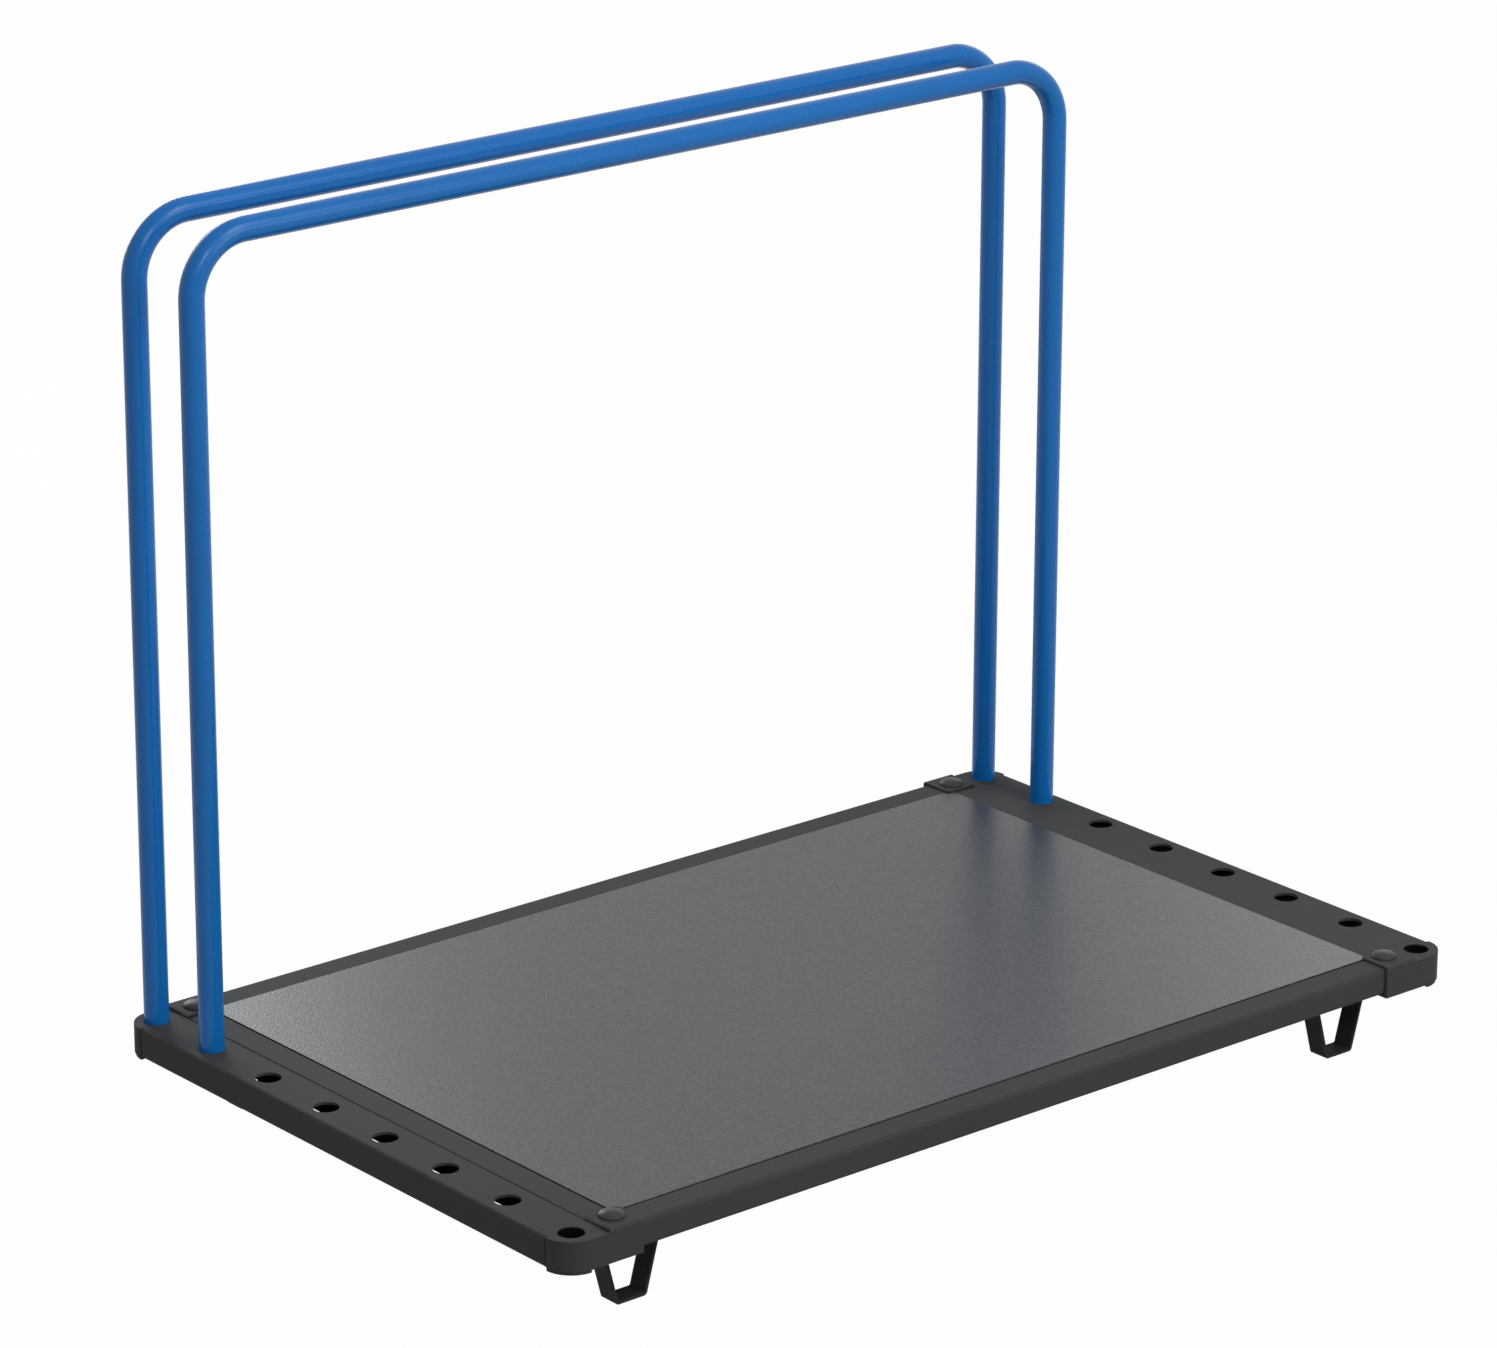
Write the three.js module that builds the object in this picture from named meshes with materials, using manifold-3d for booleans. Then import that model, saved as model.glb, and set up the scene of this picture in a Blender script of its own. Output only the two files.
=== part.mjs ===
// A platform rack for sheet goods: a framed deck on four strap feet, with a row of sockets along each end.
// Two bent-tube hoops stand in the sockets and hold sheets upright between them.
// Millimetres, +Z up. The origin is on the floor, under the middle of the deck. +X runs along the long side.

import * as THREE from "three";
import { mergeVertices } from "three/addons/utils/BufferGeometryUtils.js";
import Module from "manifold-3d";

// Sockets and hoops
const SOCKET_PITCH = 100;
const SOCKETS_PER_ROW = 8;
const ROW_SPAN = 1168;
const FRONT_HOOP_SOCKET = 6;
const BACK_HOOP_SOCKET = 7;
const TUBE_DIAMETER = 26.7;
const TUBE_WALL = 2;
const HOOP_RISE = 869;
const HOOP_BEND_RADIUS = 65;
const LOCATING_PIN_DIAMETER = 10;
const LOCATING_PIN_LENGTH = 4;
const PLUG_SHOULDER = 2.7;
const PLUG_STEM = 15;

// Platform heights, counted from the top of the socket rails, which is this far above the floor
const SOCKET_RAIL_HEIGHT = 107;
const FRAME_STEP = 0.7;
const DECK_STEP = 0.6;

// End rails with the sockets
const END_RAIL_OUTER_EDGE = 26;
const END_RAIL_INNER_EDGE = 28.25;
const END_RAIL_DEPTH = 33.5;
const END_RAIL_SHEET = 3;
const END_RAIL_BEND = 4;

// Strips between the end rails and the deck
const STRIP_WIDTH = 31.8;
const STRIP_SHEET = 2.5;
const STRIP_BEND = 3;

// Side rails
const SIDE_RAIL_WIDTH = 32.8;
const SIDE_RAIL_DEPTH = 29.5;
const SIDE_RAIL_WALL = 2;
const SIDE_RAIL_OUTER_ROUND = 4;
const SIDE_RAIL_INNER_ROUND = 2.2;

// Corner caps
const CAP_SIDE_MARGIN = 26;
const CAP_PROUD = 1;
const CAP_CORNER_RADIUS = 33;
const CAP_DEPTH = 32.3;
const CAP_SOCKET_WALL = 8.3;
const CAP_SPIGOT = 28;
const SLEEVE_LENGTH = 42;
const SLEEVE_WALL = 3.7;
const PAD_THICKNESS = 2;
const PAD_OVERLAP = 5.2;
const PAD_CORNER_RADIUS = 8;
const LIP_DROP = 3.5;
const LIP_INSET = 1;

// Bolts through the caps
const CAP_BOLT_DIAMETER = 10;
const CAP_BOLT_HEAD = 26.8;
const CAP_BOLT_HEAD_HEIGHT = 5.6;
const CAP_BOLT_HEAD_RIM = 0.8;
const CAP_NUT_ACROSS_FLATS = 17;
const CAP_NUT_THICKNESS = 6;
const BOLT_END_BEYOND_NUT = 1.5;

// Deck and the bars beneath it
const DECK_THICKNESS = 12;
const DECK_GAP = 1;
const CROSS_BAR_WIDTH = 75;
const CROSS_BAR_SHEET = 2.5;
const CROSS_BAR_BEND = 3.5;

// Strap feet
const FOOT_INSET_FROM_ROW = 92;
const FOOT_INSET_FROM_SIDE_RAIL = 22.2;
const FOOT_BASE_WIDTH = 38.4;
const FOOT_LEAN = 0.27;
const FOOT_STRAP_WIDTH = 24;
const FOOT_STRAP_THICKNESS = 3.5;
const FOOT_BEND = 4.5;
const FOOT_FLANGE_GAP = 8;
const FOOT_BOLT_SPACING = 36;
const FOOT_BOLT_DIAMETER = 8;
const FOOT_BOLT_HEAD_ACROSS_FLATS = 13;
const FOOT_BOLT_HEAD_HEIGHT = 5.3;
const FOOT_NUT_THICKNESS = 6.5;

// Clearances
const SOCKET_CLEARANCE = 0.35;
const FIT = 0.3;

// How finely round shapes are divided
const TUBE_SIDES = 20;
const HOOP_BEND_STEPS = 8;
const BOLT_SIDES = 10;
const HEXAGON = 6;
const DOME_SIDES = 16;
const DOME_STEPS = 4;
const FOLD_STEPS = 3;
const SECTION_SEGMENTS = 2;
const CORNER_SEGMENTS = 4;
const CUT_OVERRUN = 5;

// Places that several pieces share
const rowX = ROW_SPAN / 2;
const socketRadius = TUBE_DIAMETER / 2 + SOCKET_CLEARANCE;
const locatingHoleRadius = LOCATING_PIN_DIAMETER / 2 + FIT;
const socketY = (index) => (index - (SOCKETS_PER_ROW - 1) / 2) * SOCKET_PITCH;
const cornerY = socketY(SOCKETS_PER_ROW - 1);

const endRailOuterX = rowX + END_RAIL_OUTER_EDGE;
const endRailInnerX = rowX - END_RAIL_INNER_EDGE;
const socketFloorZ = -END_RAIL_DEPTH + END_RAIL_SHEET;

const capOuterX = endRailOuterX + CAP_PROUD;
const capOuterY = cornerY + CAP_SIDE_MARGIN;
const capInnerY = cornerY - socketRadius - CAP_SOCKET_WALL;
const capArcX = capOuterX - CAP_CORNER_RADIUS;
const capArcY = capOuterY - CAP_CORNER_RADIUS;
const capWebX = endRailOuterX - END_RAIL_SHEET - FIT;

const frameTopZ = FRAME_STEP;
const sideRailOuterY = capOuterY - SLEEVE_WALL - FIT;
const sideRailInnerY = sideRailOuterY - SIDE_RAIL_WIDTH;
const sideRailBottomZ = frameTopZ - SIDE_RAIL_DEPTH;
const stripOuterX = endRailInnerX - FIT;
const stripInnerX = stripOuterX - STRIP_WIDTH;
const sleeveEndX = endRailInnerX - SLEEVE_LENGTH;
const sleeveBackX = endRailInnerX - PAD_THICKNESS;
const sideRailEndX = sleeveBackX - FIT;

const deckTopZ = frameTopZ + DECK_STEP;
const deckBottomZ = deckTopZ - DECK_THICKNESS;
const deckHalfX = stripInnerX - DECK_GAP;
const deckHalfY = sideRailInnerY - DECK_GAP;

const padBottomZ = deckTopZ + FIT;
const padTopZ = padBottomZ + PAD_THICKNESS;
const padInnerY = deckHalfY - PAD_OVERLAP;
const capBottomZ = -CAP_DEPTH;
const capBoltX = rowX - SOCKET_PITCH / 2;

const crossBarTopZ = deckBottomZ - FIT;
const crossBarBottomZ = sideRailBottomZ;
const crossBarEndY = sideRailInnerY - FIT;
const endCrossBarOuterX = stripInnerX - FIT;

const footX = rowX - FOOT_INSET_FROM_ROW;
const footY = sideRailInnerY - FOOT_INSET_FROM_SIDE_RAIL;
const footTopZ = crossBarBottomZ - FIT;
const floorZ = -SOCKET_RAIL_HEIGHT;

// Finishes
function finish(color, roughness, metalness) {
  return new THREE.MeshStandardMaterial({ color, roughness, metalness });
}
const blueCoat = () => finish(0x1f6fbf, 0.42, 0.0);
const greyCoat = () => finish(0x4c4d4f, 0.55, 0.0);
const capPlastic = () => finish(0x48494b, 0.6, 0.0);
const deckFilm = () => finish(0x707276, 0.45, 0.0);
const blackCoat = () => finish(0x222324, 0.55, 0.0);
const steel = () => finish(0x8a8c8f, 0.4, 0.9);
const plugPlastic = () => finish(0x1a1a1b, 0.6, 0.0);

// Joining and cutting of closed solids
const wasm = await Module();
wasm.setup();

function toSolid(geometry) {
  const bare = geometry.clone();
  bare.deleteAttribute("normal");
  bare.deleteAttribute("uv");
  const merged = mergeVertices(bare, 1e-4);
  return new wasm.Manifold(
    new wasm.Mesh({
      numProp: 3,
      vertProperties: new Float32Array(merged.attributes.position.array),
      triVerts: new Uint32Array(merged.index.array),
    }),
  );
}

function toGeometry(solid) {
  const mesh = solid.getMesh();
  const geometry = new THREE.BufferGeometry();
  geometry.setAttribute("position", new THREE.BufferAttribute(mesh.vertProperties, mesh.numProp));
  geometry.setIndex(new THREE.BufferAttribute(mesh.triVerts, 1));
  geometry.computeVertexNormals();
  return geometry;
}

const join = (first, ...others) => others.reduce((whole, piece) => whole.add(piece), first);
const cut = (first, ...tools) => tools.reduce((whole, tool) => whole.subtract(tool), first);

// Basic shapes, each given by its corners or its axis
function block(low, high) {
  const geometry = new THREE.BoxGeometry(high[0] - low[0], high[1] - low[1], high[2] - low[2]);
  geometry.translate((low[0] + high[0]) / 2, (low[1] + high[1]) / 2, (low[2] + high[2]) / 2);
  return toSolid(geometry);
}

function upright(x, y, lowZ, highZ, radius, sides) {
  const geometry = new THREE.CylinderGeometry(radius, radius, highZ - lowZ, sides);
  geometry.rotateX(Math.PI / 2);
  geometry.translate(x, y, (lowZ + highZ) / 2);
  return toSolid(geometry);
}

const extruded = (shape, depth, curveSegments) =>
  new THREE.ExtrudeGeometry(shape, { depth, bevelEnabled: false, curveSegments });

// A section drawn in X and Z, running along Y from -half to +half
function alongY(shape, half) {
  const geometry = extruded(shape, 2 * half, SECTION_SEGMENTS);
  geometry.rotateX(Math.PI / 2);
  geometry.translate(0, half, 0);
  return geometry;
}

// A section drawn in Y and Z, running along X from -half to +half
function alongX(shape, half) {
  const geometry = extruded(shape, 2 * half, SECTION_SEGMENTS);
  geometry.rotateX(Math.PI / 2);
  geometry.rotateZ(Math.PI / 2);
  geometry.translate(-half, 0, 0);
  return geometry;
}

// An outline in X and Y, raised from lowZ to highZ
function raised(shape, lowZ, highZ) {
  const geometry = extruded(shape, highZ - lowZ, CORNER_SEGMENTS);
  geometry.translate(0, 0, lowZ);
  return geometry;
}

// A section of folded sheet: its outer face follows the corners, which all turn the same way
function foldedSheet(corners, thickness, outerRadius) {
  const points = corners.map(([x, y]) => new THREE.Vector2(x, y));
  const heading = points.slice(1).map((point, i) => point.clone().sub(points[i]).normalize());
  const turn = Math.sign(heading[0].cross(heading[1]));
  const inward = heading.map((d) => new THREE.Vector2(-d.y, d.x).multiplyScalar(turn));
  const outer = [points[0]];
  const inner = [points[0].clone().addScaledVector(inward[0], thickness)];
  for (let i = 1; i < points.length - 1; i++) {
    const angle = Math.acos(heading[i - 1].dot(heading[i]));
    const setback = outerRadius * Math.tan(angle / 2);
    const centre = points[i].clone().addScaledVector(heading[i - 1], -setback);
    centre.addScaledVector(inward[i - 1], outerRadius);
    for (let step = 0; step <= FOLD_STEPS; step++) {
      const spoke = inward[i - 1].clone().negate();
      spoke.rotateAround(new THREE.Vector2(), (turn * angle * step) / FOLD_STEPS);
      outer.push(centre.clone().addScaledVector(spoke, outerRadius));
      inner.push(centre.clone().addScaledVector(spoke, outerRadius - thickness));
    }
  }
  const last = points.length - 1;
  outer.push(points[last]);
  inner.push(points[last].clone().addScaledVector(inward[last - 1], thickness));
  return new THREE.Shape([...outer, ...inner.reverse()]);
}

// A rectangle whose left and right corners have their own rounding
function roundedRectangle(left, bottom, right, top, leftRadius, rightRadius) {
  const shape = new THREE.Shape();
  shape.absarc(left + leftRadius, bottom + leftRadius, leftRadius, Math.PI, 1.5 * Math.PI);
  shape.absarc(right - rightRadius, bottom + rightRadius, rightRadius, 1.5 * Math.PI, 2 * Math.PI);
  shape.absarc(right - rightRadius, top - rightRadius, rightRadius, 0, 0.5 * Math.PI);
  shape.absarc(left + leftRadius, top - leftRadius, leftRadius, 0.5 * Math.PI, Math.PI);
  return shape;
}

// Scene graph: the platform group's zero height is the top of the socket rails
const cart = new THREE.Group();
const platform = new THREE.Group();
platform.position.z = SOCKET_RAIL_HEIGHT;
cart.add(platform);

function place(parent, name, geometry, material) {
  const mesh = new THREE.Mesh(geometry, material);
  mesh.name = name;
  parent.add(mesh);
}

const ENDS = [
  { side: -1, name: "left" },
  { side: 1, name: "right" },
];
const SIDES = [
  { side: -1, name: "front" },
  { side: 1, name: "back" },
];

// End rail: a channel open towards the deck, with a row of sockets in its top and a locating hole under each.
// Its flanges stop short at both ends, where the corner caps fill the notch behind the web.
function endRail() {
  const section = foldedSheet(
    [
      [endRailInnerX, 0],
      [endRailOuterX, 0],
      [endRailOuterX, -END_RAIL_DEPTH],
      [endRailInnerX, -END_RAIL_DEPTH],
    ],
    END_RAIL_SHEET,
    END_RAIL_BEND,
  );
  const halfLength = capArcY - FIT;
  let rail = toSolid(alongY(section, halfLength));
  for (const { side } of SIDES) {
    const nearY = side * (capInnerY - FIT);
    const farY = side * (halfLength + CUT_OVERRUN);
    const low = [endRailInnerX - CUT_OVERRUN, Math.min(nearY, farY), -END_RAIL_DEPTH - CUT_OVERRUN];
    const high = [endRailOuterX - END_RAIL_SHEET, Math.max(nearY, farY), CUT_OVERRUN];
    rail = cut(rail, block(low, high));
  }
  for (let index = 1; index < SOCKETS_PER_ROW - 1; index++) {
    const y = socketY(index);
    const socket = upright(rowX, y, -END_RAIL_SHEET - CUT_OVERRUN, CUT_OVERRUN, socketRadius, TUBE_SIDES);
    const pinLow = -END_RAIL_DEPTH - CUT_OVERRUN;
    const pinHole = upright(rowX, y, pinLow, socketFloorZ + CUT_OVERRUN, locatingHoleRadius, BOLT_SIDES);
    rail = cut(rail, socket, pinHole);
  }
  return toGeometry(rail);
}

// End strip: an upturned channel between the two side rails, beside the deck and as deep as the rails
function endStrip() {
  const section = foldedSheet(
    [
      [stripInnerX, sideRailBottomZ],
      [stripInnerX, frameTopZ],
      [stripOuterX, frameTopZ],
      [stripOuterX, sideRailBottomZ],
    ],
    STRIP_SHEET,
    STRIP_BEND,
  );
  return alongY(section, sideRailInnerY - FIT);
}

// Side rail: a rectangular tube, drilled at both ends for the cap bolts
function sideRail() {
  const outline = roundedRectangle(
    sideRailInnerY,
    sideRailBottomZ,
    sideRailOuterY,
    frameTopZ,
    SIDE_RAIL_INNER_ROUND,
    SIDE_RAIL_OUTER_ROUND,
  );
  const bore = roundedRectangle(
    sideRailInnerY + SIDE_RAIL_WALL,
    sideRailBottomZ + SIDE_RAIL_WALL,
    sideRailOuterY - SIDE_RAIL_WALL,
    frameTopZ - SIDE_RAIL_WALL,
    SIDE_RAIL_INNER_ROUND / 2,
    SIDE_RAIL_OUTER_ROUND / 2,
  );
  outline.holes.push(bore);
  const tube = toSolid(alongX(outline, sideRailEndX));
  const holes = ENDS.map(({ side }) => capBoltHole(side * capBoltX));
  return toGeometry(cut(tube, ...holes));
}

function capBoltHole(x) {
  const radius = CAP_BOLT_DIAMETER / 2 + FIT;
  return upright(x, cornerY, capBottomZ - CUT_OVERRUN, padTopZ + CUT_OVERRUN, radius, BOLT_SIDES);
}

// Corner cap: a moulding with the row's last socket, a spigot that plugs into the end rail, a sleeve round
// the side rail's end, a raised pad that laps over the deck's corner, and a lip under the round corner
function cornerCap() {
  const outline = new THREE.Shape();
  outline.moveTo(endRailInnerX, capInnerY);
  outline.lineTo(capWebX, capInnerY);
  outline.lineTo(capWebX, capArcY);
  outline.lineTo(capOuterX, capArcY);
  outline.absarc(capArcX, capArcY, CAP_CORNER_RADIUS, 0, Math.PI / 2);
  outline.lineTo(endRailInnerX, capOuterY);
  outline.closePath();
  const body = toSolid(raised(outline, capBottomZ, 0));

  const inset = FIT + (END_RAIL_BEND - END_RAIL_SHEET) / 2;
  const spigotLow = [endRailInnerX + FIT, capInnerY - CAP_SPIGOT, socketFloorZ + inset];
  const spigotHigh = [capWebX - inset, capInnerY + FIT, -END_RAIL_SHEET - inset];
  const spigot = block(spigotLow, spigotHigh);

  const lipShape = new THREE.Shape();
  lipShape.moveTo(capArcX, capArcY);
  lipShape.absarc(capArcX, capArcY, CAP_CORNER_RADIUS - LIP_INSET, 0, Math.PI / 2);
  lipShape.closePath();
  const lip = toSolid(raised(lipShape, capBottomZ - LIP_DROP, capBottomZ + FIT));

  const padShape = new THREE.Shape();
  padShape.moveTo(endRailInnerX, padInnerY);
  padShape.lineTo(endRailInnerX, capOuterY);
  padShape.lineTo(sleeveEndX, capOuterY);
  padShape.lineTo(sleeveEndX, padInnerY + PAD_CORNER_RADIUS);
  padShape.absarc(
    sleeveEndX + PAD_CORNER_RADIUS,
    padInnerY + PAD_CORNER_RADIUS,
    PAD_CORNER_RADIUS,
    Math.PI,
    1.5 * Math.PI,
  );
  padShape.closePath();
  const pad = toSolid(raised(padShape, padBottomZ, padTopZ));

  const wallLow = [sleeveEndX, sideRailOuterY + FIT, capBottomZ];
  const floorLow = [sleeveEndX, sideRailInnerY, capBottomZ];
  const backLow = [sleeveBackX, sideRailInnerY, capBottomZ];
  const sleeveWall = block(wallLow, [endRailInnerX, capOuterY, padTopZ]);
  const sleeveFloor = block(floorLow, [endRailInnerX, capOuterY, sideRailBottomZ - FIT]);
  const sleeveBack = block(backLow, [endRailInnerX, capOuterY, padTopZ]);
  const backToBody = block(backLow, [endRailInnerX + FIT, capOuterY, -FIT]);

  const socket = upright(rowX, cornerY, socketFloorZ, CUT_OVERRUN, socketRadius, TUBE_SIDES);
  const pinLow = capBottomZ - LIP_DROP - CUT_OVERRUN;
  const pinHole = upright(rowX, cornerY, pinLow, socketFloorZ + CUT_OVERRUN, locatingHoleRadius, BOLT_SIDES);
  const whole = join(body, spigot, lip, pad, sleeveWall, sleeveFloor, sleeveBack, backToBody);
  return toGeometry(cut(whole, socket, pinHole, capBoltHole(capBoltX)));
}

// Dome-headed bolt through the pad, the side rail and the sleeve's floor
function capBolt() {
  const shankRadius = CAP_BOLT_DIAMETER / 2;
  const headRadius = CAP_BOLT_HEAD / 2;
  const headZ = padTopZ + FIT;
  const endZ = capBottomZ - 2 * FIT - CAP_NUT_THICKNESS - BOLT_END_BEYOND_NUT;
  const profile = [
    new THREE.Vector2(0, endZ),
    new THREE.Vector2(shankRadius, endZ),
    new THREE.Vector2(shankRadius, headZ),
    new THREE.Vector2(headRadius, headZ),
  ];
  const domeHeight = CAP_BOLT_HEAD_HEIGHT - CAP_BOLT_HEAD_RIM;
  for (let step = 0; step <= DOME_STEPS; step++) {
    const angle = (step / DOME_STEPS) * (Math.PI / 2);
    const radius = step === DOME_STEPS ? 0 : headRadius * Math.cos(angle);
    profile.push(new THREE.Vector2(radius, headZ + CAP_BOLT_HEAD_RIM + domeHeight * Math.sin(angle)));
  }
  return turned(profile, DOME_SIDES, capBoltX, cornerY);
}

// A profile of radius and height, turned about an upright axis
function turned(profile, sides, x, y) {
  const geometry = new THREE.LatheGeometry(profile, sides);
  geometry.rotateX(Math.PI / 2);
  geometry.translate(x, y, 0);
  return toGeometry(toSolid(geometry));
}

// Hexagon nut about an upright axis, with its top at topZ
function hexNut(x, y, topZ, thickness, acrossFlats, boltDiameter) {
  const cornerRadius = acrossFlats / Math.sqrt(3);
  const lowZ = topZ - thickness;
  const holeRadius = boltDiameter / 2 + FIT;
  const body = upright(x, y, lowZ, topZ, cornerRadius, HEXAGON);
  const hole = upright(x, y, lowZ - CUT_OVERRUN, topZ + CUT_OVERRUN, holeRadius, BOLT_SIDES);
  return toGeometry(cut(body, hole));
}

function capNut() {
  const topZ = capBottomZ - FIT;
  return hexNut(capBoltX, cornerY, topZ, CAP_NUT_THICKNESS, CAP_NUT_ACROSS_FLATS, CAP_BOLT_DIAMETER);
}

// Cross bar: a channel open upwards, whose edges carry the deck
function crossBarSection(innerX, outerX) {
  return foldedSheet(
    [
      [innerX, crossBarTopZ],
      [innerX, crossBarBottomZ],
      [outerX, crossBarBottomZ],
      [outerX, crossBarTopZ],
    ],
    CROSS_BAR_SHEET,
    CROSS_BAR_BEND,
  );
}

function middleCrossBar() {
  const half = CROSS_BAR_WIDTH / 2;
  return alongY(crossBarSection(-half, half), crossBarEndY);
}

const footBoltXs = [footX - FOOT_BOLT_SPACING / 2, footX + FOOT_BOLT_SPACING / 2];

function endCrossBar() {
  const section = crossBarSection(endCrossBarOuterX - CROSS_BAR_WIDTH, endCrossBarOuterX);
  const bar = toSolid(alongY(section, crossBarEndY));
  const holes = SIDES.flatMap(({ side }) => footBoltXs.map((x) => footBoltHole(x, side * footY)));
  return toGeometry(cut(bar, ...holes));
}

function footBoltHole(x, y) {
  const radius = FOOT_BOLT_DIAMETER / 2 + FIT;
  const lowZ = footTopZ - FOOT_STRAP_THICKNESS - CUT_OVERRUN;
  const highZ = crossBarBottomZ + CROSS_BAR_SHEET + CUT_OVERRUN;
  return upright(x, y, lowZ, highZ, radius, BOLT_SIDES);
}

// Strap foot: a flat strap bent into a trapezoid, wide at the top, whose two ends meet under the cross bar
function foot() {
  const baseHalf = FOOT_BASE_WIDTH / 2;
  const topHalf = baseHalf + FOOT_LEAN * (footTopZ - floorZ);
  const section = foldedSheet(
    [
      [footX - FOOT_FLANGE_GAP / 2, footTopZ],
      [footX - topHalf, footTopZ],
      [footX - baseHalf, floorZ],
      [footX + baseHalf, floorZ],
      [footX + topHalf, footTopZ],
      [footX + FOOT_FLANGE_GAP / 2, footTopZ],
    ],
    FOOT_STRAP_THICKNESS,
    FOOT_BEND,
  );
  const strap = alongY(section, FOOT_STRAP_WIDTH / 2);
  strap.translate(0, footY, 0);
  return toGeometry(cut(toSolid(strap), ...footBoltXs.map((x) => footBoltHole(x, footY))));
}

// Foot bolt: its head is inside the strap's loop and its nut lies in the cross bar
function footBolt(x) {
  const headTopZ = footTopZ - FOOT_STRAP_THICKNESS - FIT;
  const endZ = crossBarBottomZ + CROSS_BAR_SHEET + FIT + FOOT_NUT_THICKNESS + BOLT_END_BEYOND_NUT;
  const cornerRadius = FOOT_BOLT_HEAD_ACROSS_FLATS / Math.sqrt(3);
  const head = upright(x, footY, headTopZ - FOOT_BOLT_HEAD_HEIGHT, headTopZ, cornerRadius, HEXAGON);
  const shank = upright(x, footY, headTopZ - FIT, endZ, FOOT_BOLT_DIAMETER / 2, BOLT_SIDES);
  return toGeometry(join(head, shank));
}

function footNut(x) {
  const topZ = crossBarBottomZ + CROSS_BAR_SHEET + FIT + FOOT_NUT_THICKNESS;
  return hexNut(x, footY, topZ, FOOT_NUT_THICKNESS, FOOT_BOLT_HEAD_ACROSS_FLATS, FOOT_BOLT_DIAMETER);
}

// Hoop centreline: up one leg, round two bends and down the other, with stations where the direction changes
class HoopPath extends THREE.Curve {
  constructor(legBottomZ) {
    super();
    const bendX = rowX - HOOP_BEND_RADIUS;
    const bendZ = HOOP_RISE - HOOP_BEND_RADIUS;
    const stations = [{ x: -rowX, z: legBottomZ, angle: Math.PI }];
    for (const centreX of [-bendX, bendX]) {
      const startAngle = centreX < 0 ? Math.PI : Math.PI / 2;
      for (let step = 0; step <= HOOP_BEND_STEPS; step++) {
        const angle = startAngle - ((step / HOOP_BEND_STEPS) * Math.PI) / 2;
        const x = centreX + HOOP_BEND_RADIUS * Math.cos(angle);
        stations.push({ x, z: bendZ + HOOP_BEND_RADIUS * Math.sin(angle), angle });
      }
    }
    stations.push({ x: rowX, z: legBottomZ, angle: 0 });
    this.stations = stations;
  }
  station(u) {
    return this.stations[Math.round(u * (this.stations.length - 1))];
  }
  getPointAt(u) {
    const { x, z } = this.station(u);
    return new THREE.Vector3(x, 0, z);
  }
  getTangentAt(u) {
    const { angle } = this.station(u);
    return new THREE.Vector3(Math.sin(angle), 0, -Math.cos(angle));
  }
}

const plugBottomZ = socketFloorZ + FIT;
const tubeEndZ = plugBottomZ + PLUG_SHOULDER + FIT;

function hoop() {
  const ring = new THREE.Shape();
  ring.absarc(0, 0, TUBE_DIAMETER / 2, 0, 2 * Math.PI);
  const bore = new THREE.Path();
  bore.absarc(0, 0, TUBE_DIAMETER / 2 - TUBE_WALL, 0, 2 * Math.PI);
  ring.holes.push(bore);
  const extrudePath = new HoopPath(tubeEndZ);
  const steps = extrudePath.stations.length - 1;
  const tube = new THREE.ExtrudeGeometry(ring, { extrudePath, steps, curveSegments: TUBE_SIDES / 2 });
  return toGeometry(toSolid(tube));
}

// Leg plug: a shoulder that stands on the socket's floor, a stem inside the tube and a locating pin
function legPlug(x) {
  const stemRadius = TUBE_DIAMETER / 2 - TUBE_WALL - FIT;
  const shoulderTopZ = plugBottomZ + PLUG_SHOULDER;
  const profile = [
    [0, plugBottomZ - LOCATING_PIN_LENGTH],
    [LOCATING_PIN_DIAMETER / 2, plugBottomZ - LOCATING_PIN_LENGTH],
    [LOCATING_PIN_DIAMETER / 2, plugBottomZ],
    [TUBE_DIAMETER / 2, plugBottomZ],
    [TUBE_DIAMETER / 2, shoulderTopZ],
    [stemRadius, shoulderTopZ],
    [stemRadius, shoulderTopZ + PLUG_STEM],
    [0, shoulderTopZ + PLUG_STEM],
  ];
  return turned(profile.map(([r, z]) => new THREE.Vector2(r, z)), TUBE_SIDES, x, 0);
}

// Deck: one flat panel that lies on the cross bars, its corners under the cap pads
function deckPanel() {
  const panel = new THREE.BoxGeometry(2 * deckHalfX, 2 * deckHalfY, DECK_THICKNESS);
  panel.translate(0, 0, (deckTopZ + deckBottomZ) / 2);
  return panel;
}

// Assembly: the platform's halves and corners are mirrored groups, and each hoop stands in its own group
place(platform, "deck_panel", deckPanel(), deckFilm());
place(platform, "cross_bar_middle", middleCrossBar(), blackCoat());

for (const row of SIDES) {
  const half = new THREE.Group();
  half.scale.y = row.side;
  platform.add(half);
  place(half, `side_rail_${row.name}`, sideRail(), greyCoat());
}

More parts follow.
